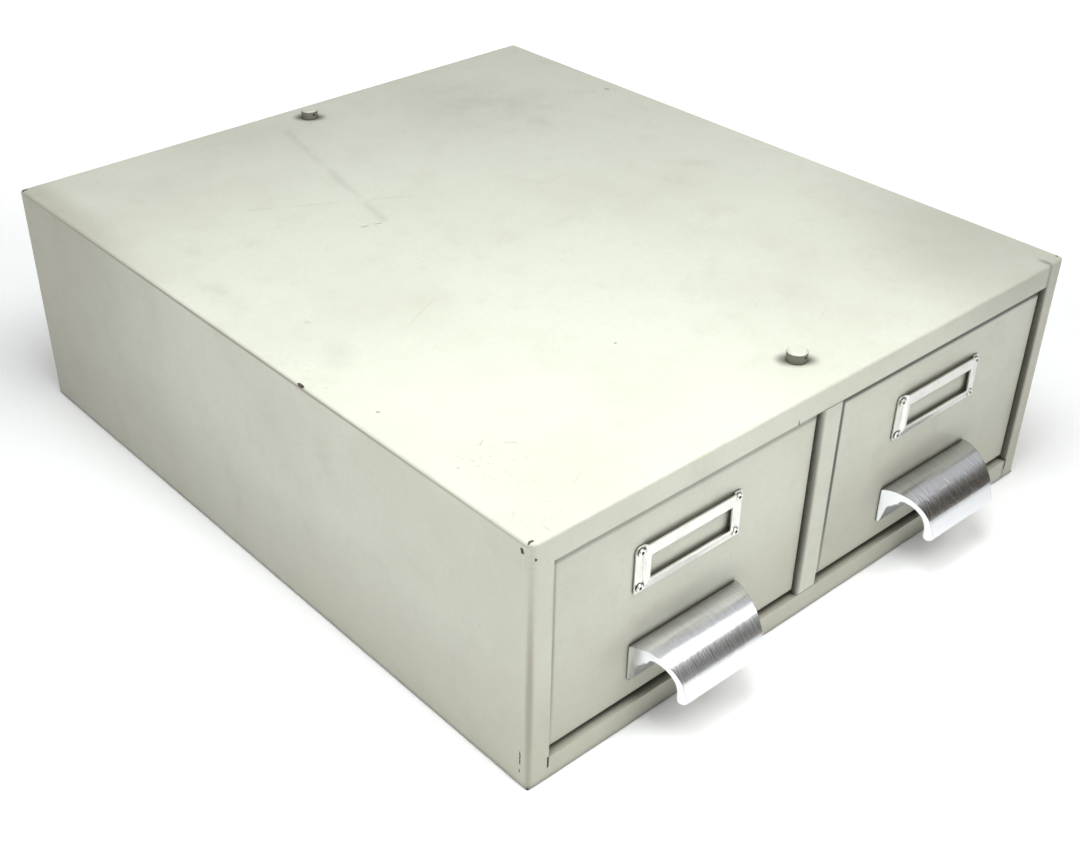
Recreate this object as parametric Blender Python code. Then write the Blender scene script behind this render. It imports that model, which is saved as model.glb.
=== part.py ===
"""A two-drawer sheet-steel card cabinet that stacks: painted shell, riveted label holders, aluminium pulls.

Metres, +Z up. The origin is on the underside, at the middle of the cabinet's footprint without its pulls.
The drawers face -Y. Blender 4.5.
"""

import math

import bmesh
import bpy
from mathutils import Matrix, Vector

# Sheet metal
SHEET = 0.0009  # wall of every folded steel piece
GAP = 0.0003  # between two pieces that rest on each other
CLEAR = 0.01  # how far a cutter runs past the metal that it cuts
BEND = 0.0012  # middle radius of a fold
BEND_STEPS = 3

# Shell
WIDTH = 0.34925
DEPTH = 0.4064
HEIGHT = 0.127
HALF_WIDTH = WIDTH / 2
FRONT_Y = -DEPTH / 2
REAR_Y = DEPTH / 2
CORNER_RADIUS = 0.0035  # upright front corners
TOP_RADIUS = 0.0015  # edges of the top
FOOT_RADIUS = 0.0004  # sheared lower and rear edges
FRAME_RIM = 0.012  # width of the front frame round the drawers
RIM_RETURN = 0.0112  # how far the frame's inner edge is turned back
SLIT_WIDTH = 0.001  # relief slit at each lower corner of the frame
SLIT_DEPTH = 0.0056
WELD = 0.0002  # how far the turned-back rim starts inside the front sheet
BASE_SIDE = 0.0132  # how far the floor is turned up at each side
BACK_FLANGE = 0.01

OPENING_X = HALF_WIDTH - FRAME_RIM + 0.0004
OPENING_LOW = 0.0121
OPENING_HIGH = HEIGHT - 0.0122

# Stile between the drawers
STILE_HALF = 0.007
STILE_DEPTH = 0.012

# Drawers
DRAWER_X = 0.08475  # middle of each drawer
FACE_Y = FRONT_Y + 0.0025
FACE_HALF = 0.07745
FACE_LOW = 0.0147
FACE_HIGH = 0.114
FACE_FLANGE = 0.012  # how far the face's edges are turned back
FACE_RADIUS = 0.001

TRAY_HALF = 0.0762
TRAY_LOW = FACE_LOW + SHEET + GAP
TRAY_SIDE_TOP = 0.084
TRAY_BACK_TOP = 0.104
TRAY_LIP = 0.005
TRAY_FRONT_Y = FACE_Y + SHEET + GAP
TRAY_REAR_Y = 0.188

# Runners
RUNNER_FRONT_Y = FACE_Y + FACE_FLANGE + GAP
RUNNER_REAR_Y = 0.198
SHELF_TOP = TRAY_LOW - GAP
SHELF_WIDTH = 0.0135
GUIDE_TOP = 0.032
GUIDE_PLAY = 0.00115  # between a tray and the guide beside it
RUNNER_FOOT = 0.008
RUNNER_WALL = 0.012  # how far a side runner climbs the shell's side

# Stops that keep a drawer from coming out
TRAVEL = 0.34
STOP_WIDTH = 0.024
STOP_LOW = 0.098
STOP_FLANGE = 0.022

# Stacking studs
STUD_RADIUS = 0.0047625
STUD_HEIGHT = 0.0053
STUD_CHAMFER = 0.0007
STUD_SHANK = 0.0024
STUD_SHANK_LENGTH = 0.0062
STUD_CROSS_HOLE = 0.0007
STUD_CROSS_AT = 0.52  # share of the stud's height
STUD_STEPS = 40
STUD_FRONT_Y = FRONT_Y + 0.0228
STUD_REAR_Y = REAR_Y - 0.0173
NUT_FLATS = 0.008
NUT_HEIGHT = 0.0032
STUD_SOCKET = 0.0055  # radius of the holes underneath

# Label holders
LABEL_X = -0.0008  # from the middle of the drawer
LABEL_Z = 0.08375
LABEL_HALF_X = 0.03145
LABEL_HALF_Z = 0.01175
LABEL_SHEET = 0.0008
LABEL_RAISE = 0.0015
LABEL_FLANGE = 0.0048  # flat strip at each end, which holds the rivets
LABEL_STEP = 0.0011  # width of the slope up to the raised frame
LABEL_SIDE = 0.0073  # from an end to the window
LABEL_SILL = 0.0058
LABEL_HEAD = 0.0055
LABEL_CORNER = 0.0022
LABEL_EDGE = 0.0009  # flat strip along the lower edge
LABEL_SLOPE = 0.0012  # from the top of the lower slope to the window
RIVET_INSET = 0.0027
RIVET_HEAD = 0.0019
RIVET_HEAD_HEIGHT = 0.0008
RIVET_BARREL = 0.0012
RIVET_BORE = 0.00075
RIVET_LIP = 0.0002
RIVET_ROUND = 0.0004
RIVET_CLINCH = 0.0003
RIVET_HOLE = RIVET_BARREL + GAP

# Pulls
PULL_X = 0.0006  # from the middle of the drawer
PULL_HALF = 0.033
PULL_TAPER = 0.335  # how much each end leans in for each unit of reach
PULL_BACK_Y = FACE_Y - GAP
PULL_OUTER = (0.0055, 0.0241, 0.021)  # reach, height and radius of the outer curve
PULL_INNER = (0.0095, 0.0284, 0.0125)
PULL_BEAD = (0.0244, 0.0259, 0.00245)
PULL_RIBS = (  # (reach, height) of the steps under the back of the cover
    (0.0091, 0.0401),
    (0.0085, 0.0386),
    (0.0069, 0.0380),
    (0.0062, 0.0367),
    (0.0045, 0.0361),
    (0.0037, 0.0348),
)
PULL_LEG = ((0.0018, 0.0268), (0.0011, 0.0256), (0.0004, 0.0254), (0.0, 0.0259))
PULL_SHOULDER = ((0.0, 0.0432), (0.0003, 0.0441))
PULL_SCREW_X = 0.018
PULL_SCREW_Z = 0.0402
PULL_SCREW_RADIUS = 0.0019
PULL_SCREW_LENGTH = 0.0045  # past the face's front
SCREW_HEAD = 0.0036
SCREW_HEAD_HEIGHT = 0.0023
SCREW_SLOT = 0.0009
SCREW_CHAMFER = 0.0004

# Card followers
TRACK_HALF = 0.00945
TRACK_HEIGHT = 0.0069
TRACK_LIP = 0.0044
TRACK_BEND = 0.0008
TRACK_FRONT_Y = -0.19
TRACK_REAR_Y = 0.184
FOLLOWER_HALF = 0.0695
FOLLOWER_SHEET = 0.0012
FOLLOWER_HEEL_Y = 0.168
FOLLOWER_TOE_Y = 0.128
FOLLOWER_TOP = 0.092
FOLLOWER_LEAN = math.radians(11)
FOLLOWER_HEM = 0.006
FOLLOWER_HEM_DROP = 0.002
SHOE_LENGTH = 0.03
SHOE_PLAY = 0.0004
SHOE_FLOOR = 0.001  # metal left under the rivet in a shoe
FOLLOWER_RIVET = 0.0016
FOLLOWER_RIVET_HEAD = 0.0033
FOLLOWER_RIVET_HEIGHT = 0.0019

ROUND_STEPS = 24

PAINT = ((0.55, 0.54, 0.46), 0.45, 0.0)
BARE_STEEL = ((0.55, 0.55, 0.55), 0.35, 1.0)
NICKEL = ((0.78, 0.77, 0.74), 0.25, 1.0)
ALUMINIUM = ((0.80, 0.80, 0.80), 0.28, 1.0)

SIDES = {"left": -1, "right": 1}


def clear_scene():
    for obj in list(bpy.data.objects):
        bpy.data.objects.remove(obj, do_unlink=True)


def make_material(name, finish):
    colour, roughness, metallic = finish
    material = bpy.data.materials.new(name)
    material.use_nodes = True
    shader = material.node_tree.nodes["Principled BSDF"]
    shader.inputs["Base Color"].default_value = (*colour, 1.0)
    shader.inputs["Roughness"].default_value = roughness
    shader.inputs["Metallic"].default_value = metallic
    return material


def add_object(name, bm, finish, parent=None):
    """The finished bmesh as an object of its own, with its own material. No finish means a cutter."""
    mesh = bpy.data.meshes.new(name)
    bm.to_mesh(mesh)
    bm.free()
    obj = bpy.data.objects.new(name, mesh)
    bpy.context.scene.collection.objects.link(obj)
    obj.parent = parent
    if finish is None:
        obj.hide_render = True
        obj.display_type = "WIRE"
    else:
        mesh.materials.append(make_material(name, finish))
    return obj


def shade_round(obj, angle=math.radians(35)):
    obj.data.shade_smooth()
    obj.data.set_sharp_from_angle(angle=angle)


def box_mesh(low, high):
    bm = bmesh.new()
    size = Vector(high) - Vector(low)
    middle = (Vector(high) + Vector(low)) / 2
    matrix = Matrix.Translation(middle) @ Matrix.Diagonal((*size, 1.0))
    bmesh.ops.create_cube(bm, size=1.0, matrix=matrix)
    return bm


def prism_mesh(outline, axis, start, end):
    """A flat outline pushed from start to end along an axis; it is drawn in the other two, in X, Y, Z order."""
    bm = bmesh.new()
    place = {
        "X": lambda a, b: (start, a, b),
        "Y": lambda a, b: (a, start, b),
        "Z": lambda a, b: (a, b, start),
    }[axis]
    push = Vector([end - start if letter == axis else 0.0 for letter in "XYZ"])
    face = bm.faces.new([bm.verts.new(place(*point)) for point in outline])
    made = bmesh.ops.extrude_face_region(bm, geom=[face])
    moved = [item for item in made["geom"] if isinstance(item, bmesh.types.BMVert)]
    bmesh.ops.translate(bm, verts=moved, vec=push)
    bmesh.ops.recalc_face_normals(bm, faces=bm.faces)
    return bm


def turned_mesh(profile, steps=ROUND_STEPS):
    """A closed (radius, height) profile turned about Z."""
    bm = bmesh.new()
    verts = [bm.verts.new((radius, 0.0, height)) for radius, height in profile]
    edges = [bm.edges.new(pair) for pair in zip(verts, verts[1:] + verts[:1])]
    bmesh.ops.spin(
        bm,
        geom=verts + edges,
        axis=(0, 0, 1),
        cent=(0, 0, 0),
        angle=2 * math.pi,
        steps=steps,
        use_merge=True,
    )
    bmesh.ops.remove_doubles(bm, verts=bm.verts, dist=1e-6)
    bmesh.ops.dissolve_degenerate(bm, edges=bm.edges, dist=1e-7)
    bmesh.ops.recalc_face_normals(bm, faces=bm.faces)
    return bm


def rod_mesh(radius, start, end):
    """A plain cylinder about Z between two heights."""
    return turned_mesh([(0.0, start), (radius, start), (radius, end), (0.0, end)])


def rounded(path, radius, steps=BEND_STEPS):
    """The path with an arc in place of each of its inner corners."""
    points = [Vector(path[0])]
    for before, corner, after in zip(path, path[1:], path[2:]):
        corner = Vector(corner)
        back = (Vector(before) - corner).normalized()
        ahead = (Vector(after) - corner).normalized()
        half = back.angle(ahead) / 2
        middle = corner + (back + ahead).normalized() * (radius / math.sin(half))
        reach = radius / math.tan(half)
        first = (corner + back * reach - middle).normalized()
        last = (corner + ahead * reach - middle).normalized()
        points += [middle + first.slerp(last, step / steps) * radius for step in range(steps + 1)]
    points.append(Vector(path[-1]))
    return points


def offset(points, distance):
    """The path moved sideways, mitred at its corners."""
    moved = []
    for index, point in enumerate(points):
        before = point - points[index - 1] if index else points[1] - point
        after = points[index + 1] - point if index + 1 < len(points) else before
        first = Vector((-before.y, before.x)).normalized()
        second = Vector((-after.y, after.x)).normalized()
        across = (first + second).normalized()
        moved.append(point + across * (distance / across.dot(first)))
    return moved


def folded_mesh(path, axis, start, end, sheet=SHEET, bend=BEND):
    """Sheet folded along a path, which is the middle of its thickness, and as long as start to end."""
    middle = rounded(path, bend)
    outline = offset(middle, sheet / 2) + offset(middle, -sheet / 2)[::-1]
    return prism_mesh(outline, axis, start, end)


def bevel(obj, width, segments=2, by_weight=False):
    modifier = obj.modifiers.new("Edges", "BEVEL")
    modifier.width = width
    modifier.segments = segments
    modifier.limit_method = "WEIGHT" if by_weight else "ANGLE"
    modifier.angle_limit = math.radians(30)


def combine(obj, other, operation):
    modifier = obj.modifiers.new(other.name, "BOOLEAN")
    modifier.operation = operation
    modifier.solver = "EXACT"
    modifier.object = other


def cut_box(obj, name, low, high, parent=None):
    combine(obj, add_object(name, box_mesh(low, high), None, parent), "DIFFERENCE")


def cut_round(obj, name, radius, start, end, turn, place, parent=None):
    """A round hole from start to end along Z, before it is turned and put in place."""
    cutter = add_object(name, rod_mesh(radius, start, end), None, parent)
    cutter.rotation_euler = turn
    cutter.location = place
    combine(obj, cutter, "DIFFERENCE")


def weigh_edges(bm, weight_of):
    """Gives each edge of a box the bevel weight for the directions that it faces."""
    layer = bm.edges.layers.float.new("bevel_weight_edge")
    for edge in bm.edges:
        facing = sum((face.normal for face in edge.link_faces), Vector())
        edge[layer] = weight_of(facing)


def shell_weight(facing):
    """The share of the corner radius that an edge of the shell is rounded by."""
    if facing.z > 0.5:
        return TOP_RADIUS / CORNER_RADIUS
    if facing.y < -0.5 and abs(facing.x) > 0.5:
        return 1.0
    return FOOT_RADIUS / CORNER_RADIUS


def inner_weight(facing):
    """The same for the hollow, whose radii are smaller by the wall."""
    if facing.y < -0.5 and abs(facing.x) > 0.5:
        return 1.0
    return (TOP_RADIUS - SHEET) / (CORNER_RADIUS - SHEET)


def rounded_box(name, low, high, radius, segments, weight_of, finish):
    bm = box_mesh(low, high)
    bm.normal_update()
    weigh_edges(bm, weight_of)
    obj = add_object(name, bm, finish)
    bevel(obj, radius, segments, by_weight=True)
    return obj


def build_shell():
    """Top, sides, front frame and rear rim in one folded and welded piece, open underneath."""
    shell = rounded_box(
        "shell",
        (-HALF_WIDTH, FRONT_Y, 0.0),
        (HALF_WIDTH, REAR_Y, HEIGHT),
        CORNER_RADIUS,
        5,
        shell_weight,
        PAINT,
    )
    hollow = rounded_box(
        "shell_hollow",
        (SHEET - HALF_WIDTH, FRONT_Y + SHEET, -CLEAR),
        (HALF_WIDTH - SHEET, REAR_Y - SHEET, HEIGHT - SHEET),
        CORNER_RADIUS - SHEET,
        4,
        inner_weight,
        None,
    )
    combine(shell, hollow, "DIFFERENCE")
    turned_back = box_mesh(
        (-OPENING_X - SHEET, FRONT_Y + WELD, OPENING_LOW - SHEET),
        (OPENING_X + SHEET, FRONT_Y + RIM_RETURN, OPENING_HIGH + SHEET),
    )
    combine(shell, add_object("shell_rim_return", turned_back, None), "UNION")
    cut_box(
        shell,
        "shell_front_opening",
        (-OPENING_X, FRONT_Y - CLEAR, OPENING_LOW),
        (OPENING_X, FRONT_Y + RIM_RETURN + CLEAR, OPENING_HIGH),
    )
    cut_box(
        shell,
        "shell_rear_opening",
        (-OPENING_X, REAR_Y - CLEAR, FRAME_RIM),
        (OPENING_X, REAR_Y + CLEAR, HEIGHT - FRAME_RIM),
    )
    for side, sign in SIDES.items():
        inner = sign * OPENING_X
        outer = sign * (OPENING_X + SLIT_WIDTH)
        cut_box(
            shell,
            f"shell_slit_{side}",
            (min(inner, outer), FRONT_Y - CLEAR, OPENING_LOW - SLIT_DEPTH),
            (max(inner, outer), FRONT_Y + RIM_RETURN + CLEAR, OPENING_LOW + SLIT_WIDTH / 2),
        )
    for end, y in (("front", STUD_FRONT_Y), ("rear", STUD_REAR_Y)):
        cut_round(
            shell,
            f"shell_stud_hole_{end}",
            STUD_SHANK + GAP,
            -CLEAR,
            CLEAR,
            (0, 0, 0),
            (0, y, HEIGHT),
        )
    shade_round(shell)


def build_base():
    """Floor of the cabinet, turned up along both sides, with the two sockets for the studs of a cabinet below."""
    side = HALF_WIDTH - SHEET - GAP - SHEET / 2
    path = [(-side, BASE_SIDE), (-side, SHEET / 2), (side, SHEET / 2), (side, BASE_SIDE)]
    mesh = folded_mesh(path, "Y", FRONT_Y + CORNER_RADIUS, REAR_Y - 2 * SHEET - 2 * GAP)
    base = add_object("base_panel", mesh, PAINT)
    for end, y in (("front", STUD_FRONT_Y), ("rear", STUD_REAR_Y)):
        cut_round(
            base,
            f"base_socket_{end}",
            STUD_SOCKET,
            -CLEAR,
            CLEAR,
            (0, 0, 0),
            (0, y, 0),
        )


def build_back():
    """Rear sheet, behind the shell's rear rim, turned forward at the top to stiffen it."""
    y = REAR_Y - SHEET - GAP - SHEET / 2
    high = HEIGHT - 2 * SHEET - GAP
    path = [(y, SHEET + GAP), (y, high), (y - BACK_FLANGE, high)]
    half = HALF_WIDTH - SHEET - TOP_RADIUS
    add_object("back_panel", folded_mesh(path, "X", -half, half), PAINT)


def build_stile():
    """Upright channel that parts the two drawer openings, flush with the front frame."""
    half = STILE_HALF - SHEET / 2
    face = FRONT_Y + SHEET / 2
    rear = FRONT_Y + STILE_DEPTH
    path = [(-half, rear), (-half, face), (half, face), (half, rear)]
    mesh = folded_mesh(path, "Z", OPENING_LOW + GAP, OPENING_HIGH - GAP)
    stile = add_object("centre_stile", mesh, PAINT)
    shade_round(stile)


def build_centre_runner():
    """Hat section on the floor: a shelf for each drawer, either side of a raised guide."""
    foot = SHEET + GAP + SHEET / 2
    shelf = SHELF_TOP - SHEET / 2
    guide = DRAWER_X - TRAY_HALF - GUIDE_PLAY - SHEET / 2
    edge = guide + SHELF_WIDTH
    half = [
        (guide, GUIDE_TOP),
        (guide, shelf),
        (edge, shelf),
        (edge, foot),
        (edge + RUNNER_FOOT, foot),
    ]
    path = [(-x, z) for x, z in half[::-1]] + half
    mesh = folded_mesh(path, "Y", RUNNER_FRONT_Y, RUNNER_REAR_Y)
    add_object("centre_runner", mesh, BARE_STEEL)


def build_side_runner(side, sign):
    """Shelf and guide for the outer edge of one drawer, between the floor and the shell's side."""
    foot = SHEET + GAP + SHEET / 2
    shelf = SHELF_TOP - SHEET / 2
    guide = DRAWER_X + TRAY_HALF + GUIDE_PLAY + SHEET / 2
    edge = guide - SHELF_WIDTH
    wall = HALF_WIDTH - SHEET - GAP - SHEET / 2
    path = [
        (edge - RUNNER_FOOT, foot),
        (edge, foot),
        (edge, shelf),
        (guide, shelf),
        (guide, GUIDE_TOP),
        (wall, GUIDE_TOP),
        (wall, GUIDE_TOP + RUNNER_WALL),
    ]
    mesh = folded_mesh([(sign * x, z) for x, z in path], "Y", RUNNER_FRONT_Y, RUNNER_REAR_Y)
    add_object(f"side_runner_{side}", mesh, BARE_STEEL)


def build_stop(side, sign):
    """Tab under the top that catches a tray's tall back at the end of its travel."""
    y = TRAY_REAR_Y - SHEET - TRAVEL - GAP - SHEET / 2
    high = HEIGHT - SHEET - GAP - SHEET / 2
    path = [(y - STOP_FLANGE, high), (y, high), (y, STOP_LOW)]
    middle = sign * DRAWER_X
    mesh = folded_mesh(path, "X", middle - STOP_WIDTH / 2, middle + STOP_WIDTH / 2)
    add_object(f"drawer_stop_{side}", mesh, BARE_STEEL)


def build_stud(end, y):
    """Turned stud on the top, with a cross hole to turn it by, and the nut that holds it from inside."""
    rim = STUD_RADIUS - STUD_CHAMFER
    profile = [
        (0.0, -STUD_SHANK_LENGTH),
        (STUD_SHANK, -STUD_SHANK_LENGTH),
        (STUD_SHANK, GAP),
        (STUD_RADIUS, GAP),
        (STUD_RADIUS, STUD_HEIGHT - STUD_CHAMFER),
        (rim, STUD_HEIGHT),
        (0.0, STUD_HEIGHT),
    ]
    stud = add_object(f"stud_{end}", turned_mesh(profile, STUD_STEPS), PAINT)
    stud.location = (0, y, HEIGHT)
    cut_round(
        stud,
        f"stud_cross_hole_{end}",
        STUD_CROSS_HOLE,
        -CLEAR,
        CLEAR,
        (math.pi / 2, 0, 0),
        (0, y, HEIGHT + STUD_HEIGHT * STUD_CROSS_AT),
    )
    shade_round(stud)

    corner = NUT_FLATS / 2 / math.cos(math.pi / 6)
    hexagon = [
        (corner * math.cos(math.pi / 3 * step), corner * math.sin(math.pi / 3 * step))
        for step in range(6)
    ]
    low = -SHEET - GAP - NUT_HEIGHT
    nut = add_object(f"stud_nut_{end}", prism_mesh(hexagon, "Z", low, low + NUT_HEIGHT), BARE_STEEL)
    nut.location = (0, y, HEIGHT)
    cut_round(
        nut,
        f"stud_nut_hole_{end}",
        STUD_SHANK + GAP,
        -CLEAR,
        CLEAR,
        (0, 0, 0),
        (0, y, HEIGHT),
    )


def make_slide(name, x):
    """Empty on the line that a drawer and its pieces slide along."""
    slide = bpy.data.objects.new(name, None)
    bpy.context.scene.collection.objects.link(slide)
    slide.location = (x, 0, 0)
    slide.empty_display_size = 0.02
    return slide


def rivet_places():
    """The four (x, z) places of the label holder's rivets, from the middle of the drawer."""
    reach_x = LABEL_HALF_X - RIVET_INSET
    reach_z = LABEL_HALF_Z - RIVET_INSET
    return [
        (LABEL_X + across * reach_x, LABEL_Z + up * reach_z)
        for up in (-1, 1)
        for across in (-1, 1)
    ]


def cut_rivet_holes(obj, name, slide):
    for number, (x, z) in enumerate(rivet_places(), 1):
        cut_round(
            obj,
            f"{name}_{number}",
            RIVET_HOLE,
            -CLEAR,
            CLEAR,
            (math.pi / 2, 0, 0),
            (x, FACE_Y, z),
            slide,
        )


def cut_screw_holes(obj, name, slide):
    for number, sign in enumerate((-1, 1), 1):
        cut_round(
            obj,
            f"{name}_{number}",
            PULL_SCREW_RADIUS + GAP,
            -CLEAR,
            PULL_SCREW_LENGTH + GAP,
            (math.pi / 2, 0, 0),
            (PULL_X + sign * PULL_SCREW_X, FACE_Y, PULL_SCREW_Z),
            slide,
        )


def build_face(side, slide):
    """Drawer front: a sheet with its four edges turned back."""
    bm = box_mesh(
        (-FACE_HALF, FACE_Y, FACE_LOW), (FACE_HALF, FACE_Y + FACE_FLANGE, FACE_HIGH)
    )
    bm.normal_update()
    weigh_edges(bm, lambda facing: 1.0 if facing.y < 0.5 else 0.0)
    face = add_object(f"drawer_{side}_front", bm, PAINT, slide)
    bevel(face, FACE_RADIUS, 3, by_weight=True)
    cut_box(
        face,
        f"face_hollow_{side}",
        (SHEET - FACE_HALF, FACE_Y + SHEET, FACE_LOW + SHEET),
        (FACE_HALF - SHEET, FACE_Y + FACE_FLANGE + CLEAR, FACE_HIGH - SHEET),
        slide,
    )
    cut_rivet_holes(face, f"face_rivet_hole_{side}", slide)
    cut_screw_holes(face, f"face_screw_hole_{side}", slide)
    shade_round(face)


def build_tray(side, slide):
    """Floor, sides and back of a drawer; the back stands taller, to meet the stop."""
    half = TRAY_HALF - SHEET / 2
    low = TRAY_LOW + SHEET / 2
    high = TRAY_SIDE_TOP - SHEET / 2
    path = [
        (TRAY_LIP - half, high),
        (-half, high),
        (-half, low),
        (half, low),
        (half, high),
        (half - TRAY_LIP, high),
    ]
    mesh = folded_mesh(path, "Y", TRAY_FRONT_Y, TRAY_REAR_Y)
    tray = add_object(f"drawer_{side}_tray", mesh, PAINT, slide)
    back = box_mesh(
        (-TRAY_HALF, TRAY_REAR_Y - SHEET, TRAY_LOW + BEND),
        (TRAY_HALF, TRAY_REAR_Y, TRAY_BACK_TOP),
    )
    combine(tray, add_object(f"tray_back_{side}", back, None, slide), "UNION")
    sill = box_mesh(
        (BEND - TRAY_HALF, TRAY_REAR_Y - SHEET, TRAY_LOW + SHEET / 3),
        (TRAY_HALF - BEND, TRAY_REAR_Y, TRAY_LOW + 2 * BEND),
    )
    combine(tray, add_object(f"tray_sill_{side}", sill, None, slide), "UNION")


def label_mesh():
    """The holder's sheet seen from the front: flat ends, a raised frame between them, and a window."""
    columns = [
        (-LABEL_HALF_X, 0.0),
        (LABEL_FLANGE - LABEL_HALF_X, 0.0),
        (LABEL_FLANGE + LABEL_STEP - LABEL_HALF_X, 1.0),
        (LABEL_SIDE - LABEL_HALF_X, 1.0),
    ]
    columns += [(-x, rise) for x, rise in columns[::-1]]
    rows = [
        (-LABEL_HALF_Z, 0.0),
        (LABEL_EDGE - LABEL_HALF_Z, 0.0),
        (LABEL_SILL - LABEL_SLOPE - LABEL_HALF_Z, 1.0),
        (LABEL_SILL - LABEL_HALF_Z, 1.0),
        (LABEL_HALF_Z - LABEL_HEAD, 1.0),
        (LABEL_HALF_Z, 1.0),
    ]
    bm = bmesh.new()
    grid = [
        [bm.verts.new((x, -LABEL_RAISE * across * up, z)) for x, across in columns]
        for z, up in rows
    ]
    window_row, window_column = 3, 3
    for row in range(len(rows) - 1):
        for column in range(len(columns) - 1):
            if (row, column) == (window_row, window_column):
                continue
            bm.faces.new(
                (
                    grid[row][column],
                    grid[row][column + 1],
                    grid[row + 1][column + 1],
                    grid[row + 1][column],
                )
            )
    corners = [grid[0][0], grid[0][-1], grid[-1][0], grid[-1][-1]]
    bmesh.ops.bevel(
        bm, geom=corners, offset=LABEL_CORNER, segments=4, profile=0.5, affect="VERTICES"
    )
    return bm


def build_label_holder(side, slide):
    """Pressed frame for a paper label, open along its top so that the label slides in."""
    label = add_object(f"label_holder_{side}", label_mesh(), NICKEL, slide)
    label.location = (LABEL_X, FACE_Y - GAP, LABEL_Z)
    sheet = label.modifiers.new("Sheet", "SOLIDIFY")
    sheet.thickness = LABEL_SHEET
    sheet.offset = 1.0
    cut_rivet_holes(label, f"label_rivet_hole_{side}", slide)
    shade_round(label, math.radians(50))


def build_rivets(side, slide):
    """Hollow rivets through the label holder and the drawer front, set from the front."""
    under_head = LABEL_SHEET + 2 * GAP
    crown = under_head + RIVET_HEAD_HEIGHT
    inside = -SHEET - GAP
    profile = [
        (RIVET_BORE, crown - RIVET_LIP / 2),
        (RIVET_BORE + RIVET_LIP, crown),
        (RIVET_HEAD - RIVET_ROUND, crown),
        (RIVET_HEAD, crown - RIVET_ROUND),
        (RIVET_HEAD, under_head),
        (RIVET_BARREL, under_head),
        (RIVET_BARREL, inside),
        (RIVET_HEAD, inside),
        (RIVET_HEAD, inside - RIVET_CLINCH),
        (RIVET_BORE, inside - RIVET_CLINCH - RIVET_LIP),
    ]
    for number, (x, z) in enumerate(rivet_places(), 1):
        rivet = add_object(f"label_rivet_{side}_{number}", turned_mesh(profile), NICKEL, slide)
        rivet.rotation_euler = (math.pi / 2, 0, 0)
        rivet.location = (x, FACE_Y, z)
        shade_round(rivet)


def arc(circle, start, end, steps):
    """(reach, height) points of a circle from one angle to another, in degrees, 180 pointing out."""
    reach, height, radius = circle
    points = []
    for step in range(steps + 1):
        angle = math.radians(start + (end - start) * step / steps)
        points.append((reach - radius * math.cos(angle), height + radius * math.sin(angle)))
    return points


def pull_outline():
    """End view of the extrusion as (reach from the face, height): curved cover, flat lip, bead and leg."""
    cover = arc(PULL_OUTER, 76, 154, 16)
    bead = arc(PULL_BEAD, 175, 375, 10)
    hollow = arc(PULL_INNER, 177, 92, 12)
    return cover + bead + hollow + [*PULL_RIBS, *PULL_LEG, *PULL_SHOULDER]


def build_pull(side, slide):
    """Extruded aluminium pull, its ends cut on a slant so that the lip is shorter than the back."""
    outline = [(PULL_BACK_Y - reach, z) for reach, z in pull_outline()]
    bm = prism_mesh(outline, "X", -PULL_HALF, PULL_HALF)
    for vert in bm.verts:
        lean = PULL_TAPER * (PULL_BACK_Y - vert.co.y)
        vert.co.x = math.copysign(PULL_HALF - lean, vert.co.x)
    pull = add_object(f"pull_{side}", bm, ALUMINIUM, slide)
    pull.location = (PULL_X, 0, 0)
    cut_screw_holes(pull, f"pull_screw_hole_{side}", slide)
    shade_round(pull, math.radians(25))


def build_pull_screws(side, slide):
    """Slotted screws from inside the drawer into the back of the pull."""
    inside = -SHEET - GAP
    profile = [
        (0.0, PULL_SCREW_LENGTH),
        (PULL_SCREW_RADIUS - SCREW_CHAMFER, PULL_SCREW_LENGTH),
        (PULL_SCREW_RADIUS, PULL_SCREW_LENGTH - SCREW_CHAMFER),
        (PULL_SCREW_RADIUS, inside),
        (SCREW_HEAD, inside),
        (SCREW_HEAD, inside - SCREW_HEAD_HEIGHT * 0.55),
        (SCREW_HEAD * 0.72, inside - SCREW_HEAD_HEIGHT * 0.9),
        (SCREW_HEAD * 0.3, inside - SCREW_HEAD_HEIGHT),
        (0.0, inside - SCREW_HEAD_HEIGHT),
    ]
    for number, sign in enumerate((-1, 1), 1):
        x = PULL_X + sign * PULL_SCREW_X
        screw = add_object(f"pull_screw_{side}_{number}", turned_mesh(profile), BARE_STEEL, slide)
        screw.rotation_euler = (math.pi / 2, 0, 0)
        screw.location = (x, FACE_Y, PULL_SCREW_Z)
        head_y = FACE_Y + SHEET + GAP + SCREW_HEAD_HEIGHT
        cut_box(
            screw,
            f"screw_slot_{side}_{number}",
            (x - SCREW_SLOT / 2, head_y - SCREW_SLOT, PULL_SCREW_Z - CLEAR),
            (x + SCREW_SLOT / 2, head_y + CLEAR, PULL_SCREW_Z + CLEAR),
            slide,
        )
        shade_round(screw)


def track_heights():
    """The middles of the follower track's floor and lips."""
    low = TRAY_LOW + SHEET + GAP + SHEET / 2
    return low, low + TRACK_HEIGHT - SHEET


def build_track(side, slide):
    """Channel along the drawer's floor that the follower's shoe runs in."""
    low, high = track_heights()
    path = [
        (TRACK_LIP - TRACK_HALF, high),
        (-TRACK_HALF, high),
        (-TRACK_HALF, low),
        (TRACK_HALF, low),
        (TRACK_HALF, high),
        (TRACK_HALF - TRACK_LIP, high),
    ]
    mesh = folded_mesh(path, "Y", TRACK_FRONT_Y, TRACK_REAR_Y, bend=TRACK_BEND)
    add_object(f"follower_track_{side}", mesh, BARE_STEEL, slide)


def follower_foot():
    """The middle height of the follower's foot."""
    return track_heights()[1] + SHEET / 2 + 2 * GAP + FOLLOWER_SHEET / 2


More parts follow.
